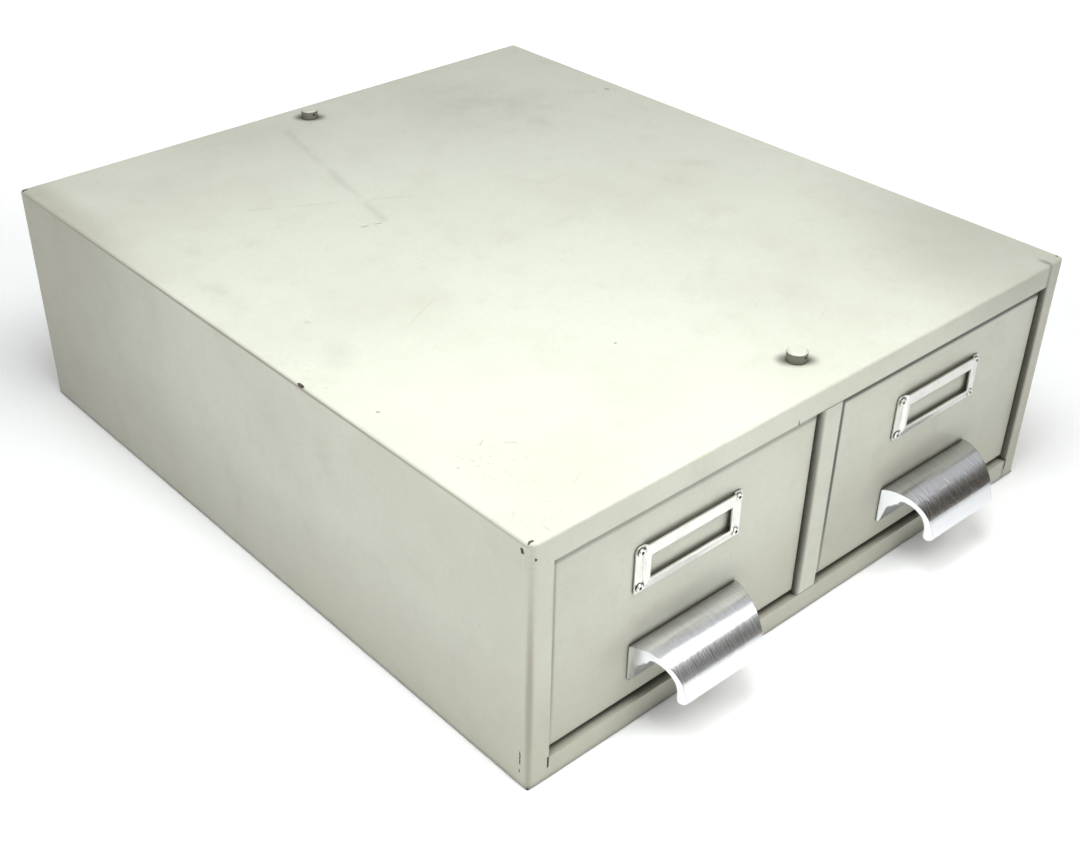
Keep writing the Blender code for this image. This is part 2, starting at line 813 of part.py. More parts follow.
def build_follower_plate(side, slide):
    """Plate that holds the cards upright: a foot, a back that leans, and a hem along its top."""
    foot = follower_foot()
    top_y = FOLLOWER_TOE_Y + (FOLLOWER_TOP - foot) * math.tan(FOLLOWER_LEAN)
    path = [
        (FOLLOWER_HEEL_Y, foot),
        (FOLLOWER_TOE_Y, foot),
        (top_y, FOLLOWER_TOP),
        (top_y + FOLLOWER_HEM, FOLLOWER_TOP - FOLLOWER_HEM_DROP),
    ]
    mesh = folded_mesh(path, "X", -FOLLOWER_HALF, FOLLOWER_HALF, sheet=FOLLOWER_SHEET)
    plate = add_object(f"follower_{side}_plate", mesh, PAINT, slide)
    cut_round(
        plate,
        f"follower_hole_{side}",
        FOLLOWER_RIVET + GAP,
        -CLEAR,
        CLEAR,
        (0, 0, 0),
        (0, (FOLLOWER_HEEL_Y + FOLLOWER_TOE_Y) / 2, foot),
        slide,
    )


def build_follower_shoe(side, slide):
    """Block caught in the track, with a neck up through its slot."""
    low, high = track_heights()
    wide = TRACK_HALF - SHEET / 2 - SHOE_PLAY
    neck = TRACK_HALF - TRACK_LIP - SHOE_PLAY
    floor = low + SHEET / 2 + GAP
    shoulder = high - SHEET / 2 - GAP
    top = high + SHEET / 2 + GAP
    outline = [
        (-wide, floor),
        (wide, floor),
        (wide, shoulder),
        (neck, shoulder),
        (neck, top),
        (-neck, top),
        (-neck, shoulder),
        (-wide, shoulder),
    ]
    middle = (FOLLOWER_HEEL_Y + FOLLOWER_TOE_Y) / 2
    mesh = prism_mesh(outline, "Y", middle - SHOE_LENGTH / 2, middle + SHOE_LENGTH / 2)
    shoe = add_object(f"follower_{side}_shoe", mesh, BARE_STEEL, slide)
    cut_round(
        shoe,
        f"shoe_hole_{side}",
        FOLLOWER_RIVET + GAP,
        floor + SHOE_FLOOR,
        top + CLEAR,
        (0, 0, 0),
        (0, middle, 0),
        slide,
    )


def build_follower_rivet(side, slide):
    """Rivet that holds the plate's foot to the shoe."""
    low = track_heights()[0] + SHEET / 2 + 2 * GAP + SHOE_FLOOR
    seat = follower_foot() + FOLLOWER_SHEET / 2 + GAP
    profile = [
        (0.0, low),
        (FOLLOWER_RIVET, low),
        (FOLLOWER_RIVET, seat),
        (FOLLOWER_RIVET_HEAD, seat),
        (FOLLOWER_RIVET_HEAD * 0.93, seat + FOLLOWER_RIVET_HEIGHT * 0.5),
        (FOLLOWER_RIVET_HEAD * 0.6, seat + FOLLOWER_RIVET_HEIGHT * 0.85),
        (0.0, seat + FOLLOWER_RIVET_HEIGHT),
    ]
    rivet = add_object(f"follower_{side}_rivet", turned_mesh(profile), BARE_STEEL, slide)
    rivet.location = (0, (FOLLOWER_HEEL_Y + FOLLOWER_TOE_Y) / 2, 0)
    shade_round(rivet)


def build_drawer(side, sign):
    slide = make_slide(f"drawer_{side}_slide", sign * DRAWER_X)
    build_face(side, slide)
    build_tray(side, slide)
    build_label_holder(side, slide)
    build_rivets(side, slide)
    build_pull(side, slide)
    build_pull_screws(side, slide)
    build_track(side, slide)
    build_follower_plate(side, slide)
    build_follower_shoe(side, slide)
    build_follower_rivet(side, slide)


def main():
    clear_scene()
    build_shell()
    build_base()
    build_back()
    build_stile()
    build_centre_runner()
    for side, sign in SIDES.items():
        build_side_runner(side, sign)
        build_stop(side, sign)
        build_drawer(side, sign)
    build_stud("front", STUD_FRONT_Y)
    build_stud("rear", STUD_REAR_Y)


main()
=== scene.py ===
"""Looks of the two-drawer card cabinet: its worn enamel and bare metals, a studio floor and its light.

Metres, +Z up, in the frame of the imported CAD. The drawers face -Y.
"""

import math

import bpy
from mathutils import Matrix, Vector


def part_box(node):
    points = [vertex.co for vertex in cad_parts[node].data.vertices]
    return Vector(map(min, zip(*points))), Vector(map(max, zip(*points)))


SIDES = ("left", "right")

# Camera
CAMERA_PLACE = Vector((-0.4582, -0.5117, 0.4555))
CAMERA_HEADING = math.radians(40.695)  # from +Y towards +X
CAMERA_PITCH = math.radians(34.976)  # below the horizon
CAMERA_ROLL = math.radians(0.076)
CAMERA_LENS = 49.17
CAMERA_SENSOR = 36.0
CAMERA_SHIFT = (0.0434, 0.0399)
CAMERA_NEAR = 0.01

# Light
PALE = (1.0, 0.995, 0.98)
COOL = (0.95, 0.99, 1.02)
LIGHTS = (  # name, place, aim, width, watts, colour
    ("softbox_right", (0.5, -0.75, 1.1), (0.0, -0.1, 0.08), 0.45, 5.0, PALE),
    ("softbox_left", (-0.8, 0.35, 0.8), (-0.05, -0.05, 0.08), 0.40, 1.4, PALE),
    ("softbox_top", (-0.16, -0.17, 0.73), (-0.1, -0.1, 0.1), 0.40, 4.9, COOL),
    ("fill_front", (-0.1, -0.4, 0.35), (-0.1, -0.2, 0.08), 0.25, 0.5, PALE),
    ("fill_left", (-0.45, -0.2, 0.35), (-0.17, -0.15, 0.1), 0.25, 0.5, PALE),
)
FLOOR_PANELS = ((0.1, 1.15), (0.65, 0.9), (1.1, 0.2))  # where panels hang over the floor behind the cabinet
FLOOR_PANEL_HEIGHT = 1.1
FLOOR_PANEL_WIDTH = 0.7
FLOOR_PANEL_WATTS = 4.0
FLOOR_PANEL_SPREAD = math.radians(75)
ROOM_DIM = (0.05, 0.05, 0.05)
ROOM_LOW = (0.40, 0.40, 0.39)
ROOM_HIGH = (0.62, 0.63, 0.65)
ROOM_DARK = (0.075, 0.058, 0.045)
ROOM_RISE = (0.30, 0.72)  # between these heights of a way up, the room turns from low to high
DARK_CORNER = (-28.0, 12.0)  # azimuth from +X towards +Y, and elevation, in degrees
DARK_REACH = (27.5, 18.0)  # from its outer rim to its full darkness, in degrees

# The shell's front frame
SHELL_RIM = 0.0116  # width of the frame at the sides
SHELL_SILL = 0.0121  # height of the frame's lower edge

# Colours
WHITE = (1.0, 1.0, 1.0)
# painted shade, for gaps, recesses and the studs' sides
CREVICE_SHADE = (0.070, 0.063, 0.050)
ENAMEL = (0.590, 0.600, 0.508)
ENAMEL_DULL = (0.470, 0.468, 0.382)
ENAMEL_DARK = (0.30, 0.27, 0.20)
ENAMEL_EDGE_DARK = (0.27, 0.24, 0.18)
ENAMEL_PINK = (0.62, 0.48, 0.40)
SMUDGE = (0.36, 0.36, 0.31)
SMEAR = (0.30, 0.30, 0.25)
# real ticks, and the studs' painted shadows
DARK_TICK_AND_SHADOW = (0.10, 0.09, 0.07)
CORNER_SHADE = (0.28, 0.28, 0.23)
# real scuffs, and the pulls' painted reflections in the faces
SCUFF_AND_REFLECTION = (0.22, 0.21, 0.17)
CHIP_STEEL = (0.020, 0.017, 0.015)
CHIP_RUST = (0.050, 0.031, 0.021)
ALUMINIUM = (0.765, 0.78, 0.795)
ALUMINIUM_STREAK = (0.50, 0.49, 0.48)
ALUMINIUM_DULL = (0.55, 0.53, 0.50)
ALUMINIUM_EDGE_REFLECTION = (0.09, 0.085, 0.08)
NICKEL = (0.73, 0.72, 0.69)
NICKEL_DULL = (0.60, 0.57, 0.52)
NICKEL_SCRATCH = (0.42, 0.40, 0.37)
NICKEL_EDGE_HIGHLIGHT = (0.93, 0.92, 0.90)
ZINC = (0.50, 0.51, 0.52)
ZINC_CRYSTAL = (0.66, 0.67, 0.68)
ZINC_STAIN = (0.30, 0.28, 0.25)
PAPER = (0.955, 0.955, 0.95)
PAPER_FIBRE = (0.93, 0.93, 0.925)
PAPER_SHADE = (0.915, 0.915, 0.91)

# The materials' values below end in
#   NOISE: a noise's scale per metre, detail and roughness
#   GRAIN: how finely a noise is drawn along each axis, per metre
#   RANGE: between()'s limits, the number's own and, if there are two more, what they become
#   DULL: the same for the roughness, or what is added to it
#   SHARE: how much of a colour shows
#   BUMP: a height in metres and a strength
#   EDGE, DIRT, REACH, DEPTH: distances in metres

# Spots, gaps and edges
SPOT_RANGE = (1.08, 0.92)
SOFT_RANGE = (1.0, 0.25)
CREVICE_RANGE = (0.90, 0.30)
CREVICE_SAMPLES = 6
EDGE_SAMPLES = 4

# Enamel's colour
MOTTLE_NOISE = (9.0, 4.0, 0.6)
MOTTLE_RANGE = (0.38, 0.78, 0.0, 0.55)
CLOUD_NOISE = (46.0, 5.0, 0.65)
CLOUD_RANGE = (0.50, 0.80, 0.0, 0.40)
SPECKLE_NOISE = (420.0, 1.0)
SPECKLE_RANGE = (0.3, 0.7, 0.0, 0.14)
ENAMEL_EDGE = 0.0012
RUBBED_RANGE = (0.02, 0.14)
RUBBED_CLOUD_RANGE = (0.34, 0.60)
RUBBED_SHARE = 0.42
SPECK_SCALE = 110.0  # cells per metre
SPECK_SIZE = 0.055  # the largest speck's radius, in cells
SPECK_RARITY = 0.72  # the share of cells without one
SPECK_SHARE = 0.6
HAIR_TURNS = ((0.7, 0.0), (-0.45, 3.7))  # each way's turn about Z, and its noise's shift
HAIR_TILT = (0.15, 0.1)
HAIR_GRAIN = (7.0, 620.0, 620.0)
HAIR_NOISE = (1.0, 2.0, 0.5)
HAIR_RANGE = (0.715, 0.745)
HAIR_GAP_RANGE = (0.50, 0.60)
HAIR_SHARE = 0.18
STAIN_RANGE = (0.35, 0.62)
STREAK_RANGE = (0.25, 0.55)
SCUFF_NOISE = (430.0, 4.0, 0.7)
SCUFF_RANGE = (0.58, 0.68)
UPRIGHT_RANGE = (0.8, 0.2)
# painted shade in the enamel's gaps and corners
CREVICE_SHADE_REACH = 0.005
CREVICE_SHADE_SHARE = 0.85

# Enamel's chips
RAGGED_NOISE = (900.0, 2.0, 0.6)
RAGGED_DEPTH = 0.0014  # how far a chip's outline strays
NICK_NOISE = (210.0, 3.0, 0.6)
NICK_RANGE = (0.735, 0.75)
NICK_EDGE_RANGE = (0.07, 0.12)
RUST_RANGE = (0.45, 0.6)
CHIP_SHARE = 0.96

# Enamel's relief and gloss
WAVE_NOISE = (14.0, 2.0, 0.4)
WAVE_BUMP = (0.0008, 1.0)
PEEL_NOISE = (620.0, 2.0, 0.45)
PEEL_BUMP = (0.00003, 0.7)
CHIP_BUMP = (0.00012, 0.7)
DULL_RANGE = (0.3, 0.75, 0.30, 0.44)
DIRT_DULL = 0.25
CHIP_DULL = 0.40
ENAMEL_SHINE = 0.40

# Aluminium
BRUSH_NOISE = (1.0, 3.0, 0.6)
FINE_GRAIN = (6500.0, 70.0, 70.0)
BROAD_GRAIN = (1700.0, 24.0, 24.0)
FINE_SHARE = 0.45
BROAD_SHARE = 0.55
RIPPLE_GRAIN = (1500.0, 170.0, 170.0)
RIPPLE_NOISE = (1.0, 2.0, 0.6)
FILM_NOISE = (95.0, 4.0, 0.6)
FILM_RANGE = (0.55, 0.85, 0.0, 0.14)
FILM_DULL = (0.4, 0.8, 0.0, 0.03)
END_TURN = 0.7  # faces turned further sideways than this are cut ends
LIP_DEPTH = 0.0024  # of the polished lip, from its front
BRUSH_RANGE = (0.38, 0.62, 0.0, 0.55)
BRUSH_DULL = (0.36, 0.66, 0.16, 0.23)
POLISH_DULL = (0.3, 0.8, 0.13, 0.24)
CUT_EDGE = 0.0007
CUT_RANGE = (0.03, 0.16, 0.0, 0.90)
CUT_SHADE_REACH = 0.0015
BRUSH_BUMP = (0.00002, 0.6)
RIPPLE_BUMP = (0.00013, 0.7)
ANISOTROPY = 0.3

# Nickel
PLATE_NOISE = (190.0, 4.0, 0.65)
PLATE_RANGE = (0.45, 0.75, 0.0, 0.35)
PLATE_DULL = (0.35, 0.8, 0.30, 0.42)
RUB_GRAIN = (160.0, 2600.0, 2600.0)
RUB_NOISE = (1.0, 3.0, 0.6)
SCRATCH_GRAIN = (3400.0, 300.0, 240.0)
SCRATCH_NOISE = (1.0, 2.0, 0.6)
SCRATCH_RANGE = (0.60, 0.66)
SCRATCH_SHARE = 0.25
SCRATCH_DULL = 0.12
PRESSED_EDGE = 0.0005
PRESSED_RANGE = (0.05, 0.25, 0.0, 0.3)
PRESSED_SHADE_REACH = 0.0012
RUB_HEIGHT = 0.5
SCRATCH_HEIGHT = -0.5
RUB_BUMP = (0.00002, 0.5)
PLATE_BUMP = (0.00004, 0.4)

# Zinc
ROLLED_GRAIN = (1900.0, 22.0, 1900.0)
ROLLED_NOISE = (1.0, 3.0, 0.6)
ZINC_NOISE = (40.0, 5.0, 0.65)
ZINC_RANGE = (0.48, 0.78, 0.0, 0.45)
ZINC_DULL = (0.35, 0.75, 0.36, 0.52)
CRYSTAL_SCALE = 260.0
CRYSTAL_RANGE = (0.0, 1.0, 0.0, 0.22)
CRYSTAL_DULL = (0.0, 1.0, -0.05, 0.05)
ROLLED_BUMP = (0.00002, 0.6)
ZINC_BUMP = (0.0003, 0.4)

# Floor
FLOOR_HALF = 12.0
FLOOR_DROP = 0.0003
FIBRE_NOISE = (240.0, 4.0, 0.6)
FIBRE_RANGE = (0.3, 0.7, 0.0, 0.25)
FIBRE_BUMP = (0.0001, 0.3)
SHEET_NOISE = (2.4, 3.0, 0.5)
SHEET_RANGE = (0.45, 0.75, 0.0, 0.25)
PAPER_DULL = 0.6
GLOW_RANGE = (0.6, 1.6, 0.10, 0.90)  # the floor's own light, from near the cabinet to far from it

# Marks, as (middle, half sizes, strength, colour), a darkening towards the floor, and painted shade and
# shadows
LOW_DARKENING = ((0.0, 0.0, 0.0), (2.0, 2.0, 0.085), 0.36, ENAMEL_DARK)  # darker towards the floor
# painted shade on the studs' upright sides
STUD_SIDE_SHADE = 0.80
STUD_SHADOW = Vector((0.0036, -0.0030, 0.0))  # from a stud's middle to either end of its painted shadow
STUD_SHADOW_REACH = 0.0070
STUD_SHADOW_SHARE = 0.95
FACE_OVERLAP = {"left": 0.0016, "right": 0.0034}  # how much of a face's left edge the frame hides
FACE_GAP_SHADE = {"left": 0.44, "right": 1.0}  # how dark the painted shade along a face's upper and left edges is

# Sharp edges of small CAD pieces, rounded
WELD_REACH = 1e-6
BEVEL_ANGLE = math.radians(40)
BEVEL_SEGMENTS = 2
NORMAL_WEIGHT = 80
PULL_BEVEL = 0.00012
PRESSED_BEVEL = 0.00015
BLOCK_BEVEL = 0.0002


# ---------------------------------------------------------------- shader nodes


def new_material(name):
    """A material with a Principled shader, its node tree and that shader."""
    material = bpy.data.materials.new(name)
    material.use_nodes = True
    tree = material.node_tree
    return material, tree, tree.nodes["Principled BSDF"]


def feed(tree, socket, value):
    """Gives a socket a value, or links another socket to it."""
    if isinstance(value, bpy.types.NodeSocket):
        tree.links.new(value, socket)
    else:
        socket.default_value = value


def node(tree, kind, inputs=None, **settings):
    made = tree.nodes.new("ShaderNode" + kind)
    for name, value in settings.items():
        setattr(made, name, value)
    for name, value in (inputs or {}).items():
        feed(tree, made.inputs[name], value)
    return made


def maths(tree, operation, *values, clamp=False):
    made = node(tree, "Math", operation=operation, use_clamp=clamp)
    for socket, value in zip(made.inputs, values):
        feed(tree, socket, value)
    return made.outputs[0]


def vectors(tree, operation, *values):
    made = node(tree, "VectorMath", operation=operation)
    for socket, value in zip(made.inputs, values):
        feed(tree, socket, value)
    return made.outputs["Value" if operation in ("LENGTH", "DOT_PRODUCT") else "Vector"]


def share_of(tree, value, share):
    return maths(tree, "MULTIPLY", value, share)


def blend_colours(tree, factor, first, second):
    made = node(tree, "Mix", data_type="RGBA")
    colours = [socket for socket in made.inputs if socket.type == "RGBA"]
    feed(tree, made.inputs[0], factor)
    for socket, value in zip(colours, (first, second)):
        feed(tree, socket, (*value, 1.0) if isinstance(value, tuple) else value)
    return next(socket for socket in made.outputs if socket.type == "RGBA")


def between(tree, value, low, high, out_low=0.0, out_high=1.0):
    """The value's place from low to high, eased, as a number from out_low to out_high."""
    limits = {"From Min": low, "From Max": high, "To Min": out_low, "To Max": out_high}
    made = node(tree, "MapRange", {"Value": value, **limits}, interpolation_type="SMOOTHSTEP")
    return made.outputs["Result"]


def noise_of(tree, place, scale, detail=2.0, roughness=0.5):
    limits = {"Vector": place, "Scale": scale, "Detail": detail, "Roughness": roughness}
    return node(tree, "TexNoise", limits).outputs["Fac"]


def object_place(tree):
    """A point's place on its own piece, which at rest is its place in the frame."""
    return node(tree, "TexCoord").outputs["Object"]


def stretched(tree, place, scale):
    return vectors(tree, "MULTIPLY", place, scale)


def bump_of(tree, height, distance, strength=1.0, normal=None):
    inputs = {"Height": height, "Distance": distance, "Strength": strength}
    if normal is not None:
        inputs["Normal"] = normal
    return node(tree, "Bump", inputs).outputs["Normal"]


def edge_of(tree, radius):
    """How sharply the surface turns within the radius: 0 on a flat face, about 0.3 on a square edge."""
    soft = node(tree, "Bevel", {"Radius": radius}, samples=EDGE_SAMPLES).outputs["Normal"]
    true = node(tree, "NewGeometry").outputs["True Normal"]
    return maths(tree, "SUBTRACT", 1.0, vectors(tree, "DOT_PRODUCT", soft, true))


def depth_in(tree, place, centre, reach):
    """0 at the middle of an ellipsoid and 1 at its surface."""
    offset = vectors(tree, "SUBTRACT", place, tuple(centre))
    return vectors(tree, "LENGTH", vectors(tree, "DIVIDE", offset, tuple(reach)))


def spot_of(tree, place, centre, reach):
    """1 inside an ellipsoid and 0 outside it."""
    return between(tree, depth_in(tree, place, centre, reach), *SPOT_RANGE)


def soft_spot(tree, place, centre, reach):
    """Fades from 1 at the middle of an ellipsoid to 0 at its surface."""
    return between(tree, depth_in(tree, place, centre, reach), *SOFT_RANGE)


def streak_of(tree, place, start, end, reach):
    """Fades from 1 on the line between two points to 0 at the reach away from it."""
    way = Vector(end) - Vector(start)
    offset = vectors(tree, "SUBTRACT", place, tuple(start))
    along = vectors(tree, "DOT_PRODUCT", offset, tuple(way / way.length_squared))
    along = maths(tree, "ADD", along, 0.0, clamp=True)
    nearest = vectors(tree, "SCALE", tuple(way))
    feed(tree, nearest.node.inputs["Scale"], along)
    apart = vectors(tree, "LENGTH", vectors(tree, "SUBTRACT", offset, nearest))
    return between(tree, apart, reach, 0.0)


def crevice_of(tree, reach):
    """1 deep in a gap or corner narrower than the reach, and 0 in the open."""
    near = node(tree, "AmbientOcclusion", {"Distance": reach}, samples=CREVICE_SAMPLES)
    return between(tree, near.outputs["AO"], *CREVICE_RANGE)


def largest(tree, values):
    found = values[0]
    for value in values[1:]:
        found = maths(tree, "MAXIMUM", found, value)
    return found


# ---------------------------------------------------------------- materials


def finish_shader(tree, shader, colour, rough, normal, metallic=0.0):
    feed(tree, shader.inputs["Base Color"], colour)
    feed(tree, shader.inputs["Roughness"], rough)
    feed(tree, shader.inputs["Normal"], normal)
    shader.inputs["Metallic"].default_value = metallic


def painted(tree, place, mottle, cloud, edge):
    """The enamel's colour, mottled and clouded, rubbed along its edges and specked."""
    speckle = noise_of(tree, place, *SPECKLE_NOISE)
    colour = blend_colours(tree, between(tree, mottle, *MOTTLE_RANGE), ENAMEL, ENAMEL_DULL)
    colour = blend_colours(tree, between(tree, cloud, *CLOUD_RANGE), colour, ENAMEL_DULL)
    colour = blend_colours(tree, between(tree, speckle, *SPECKLE_RANGE), colour, ENAMEL_DULL)
    rubbed = maths(
        tree, "MULTIPLY", between(tree, edge, *RUBBED_RANGE), between(tree, cloud, *RUBBED_CLOUD_RANGE)
    )
    colour = blend_colours(tree, share_of(tree, rubbed, RUBBED_SHARE), colour, ENAMEL_DARK)
    specks = node(tree, "TexVoronoi", {"Vector": place, "Scale": SPECK_SCALE, "Randomness": 1.0})
    pick = node(tree, "SeparateColor", {"Color": specks.outputs["Color"]}).outputs
    size = share_of(tree, pick[1], SPECK_SIZE)
    inside = maths(tree, "LESS_THAN", specks.outputs["Distance"], size)
    speck = maths(tree, "MULTIPLY", inside, maths(tree, "GREATER_THAN", pick[0], SPECK_RARITY))
    return blend_colours(tree, share_of(tree, speck, SPECK_SHARE), colour, ENAMEL_DARK)


def hairlines(tree, place, mottle):
    """Fine scratches along two ways, broken up by the mottling."""
    hairs = []
    for turn, shift in HAIR_TURNS:
        ways = {"Vector": place, "Rotation": (*HAIR_TILT, turn), "Location": (shift, shift, 0.0)}
        turned = node(tree, "Mapping", ways).outputs["Vector"]
        thin = noise_of(tree, stretched(tree, turned, HAIR_GRAIN), *HAIR_NOISE)
        hairs.append(between(tree, thin, *HAIR_RANGE))
    return maths(tree, "MULTIPLY", largest(tree, hairs), between(tree, mottle, *HAIR_GAP_RANGE))


def marked(tree, place, cloud, colour, stains, streaks, scuffs, shades):
    """The colour with stains, streaks, scuffs and even shades at set places."""
    for centre, reach, strength, tint in stains:
        stain = soft_spot(tree, place, centre, reach)
        worn = maths(tree, "MULTIPLY", stain, between(tree, cloud, *STAIN_RANGE))
        colour = blend_colours(tree, share_of(tree, worn, strength), colour, tint)
    for start, end, reach, strength, tint in streaks:
        streak = streak_of(tree, place, start, end, reach)
        worn = maths(tree, "MULTIPLY", streak, between(tree, cloud, *STREAK_RANGE))
        colour = blend_colours(tree, share_of(tree, worn, strength), colour, tint)
    fleck = between(tree, noise_of(tree, place, *SCUFF_NOISE), *SCUFF_RANGE)
    for centre, reach, strength in scuffs:
        worn = maths(tree, "MULTIPLY", soft_spot(tree, place, centre, reach), fleck)
        colour = blend_colours(tree, share_of(tree, worn, strength), colour, SCUFF_AND_REFLECTION)
    for centre, reach, strength, tint in shades:
        shade = share_of(tree, soft_spot(tree, place, centre, reach), strength)
        colour = blend_colours(tree, shade, colour, tint)
    return colour


def upright_of(tree, share):
    """The share on upright faces, and 0 on level ones."""
    true = node(tree, "NewGeometry").outputs["True Normal"]
    rise = maths(tree, "ABSOLUTE", node(tree, "SeparateXYZ", {"Vector": true}).outputs["Z"])
    return between(tree, rise, *UPRIGHT_RANGE, 0.0, share)


def chipped(tree, place, edge, chips):
    """Where the paint is chipped, at set places and rarely along any edge, and the steel's colour."""
    ragged = noise_of(tree, place, *RAGGED_NOISE)
    stray = share_of(tree, maths(tree, "SUBTRACT", ragged, 0.5), RAGGED_DEPTH)
    aside = node(tree, "CombineXYZ", {"X": stray, "Y": stray, "Z": stray}).outputs[0]
    near = vectors(tree, "ADD", place, aside)
    nicks = between(tree, noise_of(tree, place, *NICK_NOISE), *NICK_RANGE)
    nick = maths(tree, "MULTIPLY", between(tree, edge, *NICK_EDGE_RANGE), nicks)
    chip = largest(tree, [nick] + [spot_of(tree, near, centre, reach) for centre, reach in chips])
    steel = blend_colours(tree, between(tree, ragged, *RUST_RANGE), CHIP_STEEL, CHIP_RUST)
    return chip, steel


def enamel(name, chips=(), stains=(), shades=(), streaks=(), scuffs=(), upright_shade=0.0):
    """Baked enamel on sheet steel, worn and dirty all over and at set places, with shade painted into its
    gaps and corners.
    """
    material, tree, shader = new_material(name)
    place = object_place(tree)
    mottle = noise_of(tree, place, *MOTTLE_NOISE)
    cloud = noise_of(tree, place, *CLOUD_NOISE)
    edge = edge_of(tree, ENAMEL_EDGE)
    colour = painted(tree, place, mottle, cloud, edge)
    hair = hairlines(tree, place, mottle)
    colour = blend_colours(tree, share_of(tree, hair, HAIR_SHARE), colour, ENAMEL_DARK)
    colour = marked(tree, place, cloud, colour, stains, streaks, scuffs, shades)
    # painted shade on upright faces, where a share is given
    if upright_shade:
        colour = blend_colours(tree, upright_of(tree, upright_shade), colour, CREVICE_SHADE)
    # painted shade: darker where the surface is closed in by a gap or corner
    crevice_shade = crevice_of(tree, CREVICE_SHADE_REACH)
    colour = blend_colours(tree, share_of(tree, crevice_shade, CREVICE_SHADE_SHARE), colour, CREVICE_SHADE)
    chip, steel = chipped(tree, place, edge, chips)
    colour = blend_colours(tree, share_of(tree, chip, CHIP_SHARE), colour, steel)

    normal = bump_of(tree, noise_of(tree, place, *WAVE_NOISE), *WAVE_BUMP)
    normal = bump_of(tree, noise_of(tree, place, *PEEL_NOISE), *PEEL_BUMP, normal)
    normal = bump_of(tree, maths(tree, "SUBTRACT", 1.0, chip), *CHIP_BUMP, normal)
    rough = between(tree, cloud, *DULL_RANGE)
    rough = maths(tree, "ADD", rough, share_of(tree, maths(tree, "MAXIMUM", hair, crevice_shade), DIRT_DULL))
    rough = maths(tree, "ADD", rough, share_of(tree, chip, CHIP_DULL), clamp=True)
    finish_shader(tree, shader, colour, rough, normal)
    shader.inputs["Specular IOR Level"].default_value = ENAMEL_SHINE
    return material


def brushed_aluminium(name, lip_y):
    """Aluminium brushed round its curve, with a polished lip in front of lip_y, bright cut ends, a painted
    dark reflection along its edges and painted shade where it meets the face.
    """
    material, tree, shader = new_material(name)
    place = object_place(tree)
    fine = noise_of(tree, stretched(tree, place, FINE_GRAIN), *BRUSH_NOISE)
    broad = noise_of(tree, stretched(tree, place, BROAD_GRAIN), *BRUSH_NOISE)
    ripple = noise_of(tree, stretched(tree, place, RIPPLE_GRAIN), *RIPPLE_NOISE)
    film = noise_of(tree, place, *FILM_NOISE)
    true = node(tree, "NewGeometry").outputs["True Normal"]
    sideways = maths(tree, "ABSOLUTE", node(tree, "SeparateXYZ", {"Vector": true}).outputs["X"])
    end = maths(tree, "GREATER_THAN", sideways, END_TURN)
    lip = maths(tree, "LESS_THAN", node(tree, "SeparateXYZ", {"Vector": place}).outputs["Y"], lip_y)
    polished = maths(tree, "MAXIMUM", end, lip)
    brushed = maths(tree, "SUBTRACT", 1.0, polished)

    streak = maths(
        tree, "ADD", share_of(tree, fine, FINE_SHARE), share_of(tree, broad, BROAD_SHARE)
    )
    shade = maths(tree, "MULTIPLY", between(tree, streak, *BRUSH_RANGE), brushed)
    colour = blend_colours(tree, shade, ALUMINIUM, ALUMINIUM_STREAK)
    colour = blend_colours(tree, between(tree, film, *FILM_RANGE), colour, ALUMINIUM_DULL)
    # painted dark reflection along the edges
    rim = between(tree, edge_of(tree, CUT_EDGE), *CUT_RANGE)
    colour = blend_colours(tree, rim, colour, ALUMINIUM_EDGE_REFLECTION)
    # painted shade where the pull meets the face
    colour = blend_colours(tree, crevice_of(tree, CUT_SHADE_REACH), colour, CREVICE_SHADE)

    rough = maths(tree, "ADD", between(tree, streak, *BRUSH_DULL), between(tree, film, *FILM_DULL))
    smooth = between(tree, film, *POLISH_DULL)
    rough = node(tree, "Mix", {0: polished, 2: rough, 3: smooth}, data_type="FLOAT").outputs[0]
    normal = bump_of(tree, maths(tree, "MULTIPLY", streak, brushed), *BRUSH_BUMP)
    normal = bump_of(tree, maths(tree, "MULTIPLY", ripple, brushed), *RIPPLE_BUMP, normal)
    finish_shader(tree, shader, colour, rough, normal, metallic=1.0)
    shader.inputs["Anisotropic"].default_value = ANISOTROPY
    tangent = node(tree, "Tangent", direction_type="RADIAL", axis="X").outputs[0]
    feed(tree, shader.inputs["Tangent"], tangent)
    return material


def nickel(name):
    """Bright nickel plate, rubbed along the pressing's length, with fine scratches, duller patches, a
    painted highlight along its edges and painted shade in its gaps.
    """
    material, tree, shader = new_material(name)
    place = object_place(tree)
    cloud = noise_of(tree, place, *PLATE_NOISE)
    rubbed = noise_of(tree, stretched(tree, place, RUB_GRAIN), *RUB_NOISE)
    upright = noise_of(tree, stretched(tree, place, SCRATCH_GRAIN), *SCRATCH_NOISE)
    scratch = between(tree, upright, *SCRATCH_RANGE)
    colour = blend_colours(tree, between(tree, cloud, *PLATE_RANGE), NICKEL, NICKEL_DULL)
    colour = blend_colours(tree, share_of(tree, scratch, SCRATCH_SHARE), colour, NICKEL_SCRATCH)
    # painted highlight along the pressed edges
    rim = between(tree, edge_of(tree, PRESSED_EDGE), *PRESSED_RANGE)
    colour = blend_colours(tree, rim, colour, NICKEL_EDGE_HIGHLIGHT)
    # painted shade in the gaps between the pressing and the face
    colour = blend_colours(tree, crevice_of(tree, PRESSED_SHADE_REACH), colour, CREVICE_SHADE)
    rough = maths(
        tree, "ADD", between(tree, cloud, *PLATE_DULL), share_of(tree, scratch, SCRATCH_DULL)
    )
    height = maths(
        tree, "ADD", share_of(tree, rubbed, RUB_HEIGHT), share_of(tree, scratch, SCRATCH_HEIGHT)
    )
    normal = bump_of(tree, height, *RUB_BUMP, bump_of(tree, cloud, *PLATE_BUMP))
    finish_shader(tree, shader, colour, rough, normal, metallic=1.0)
    return material


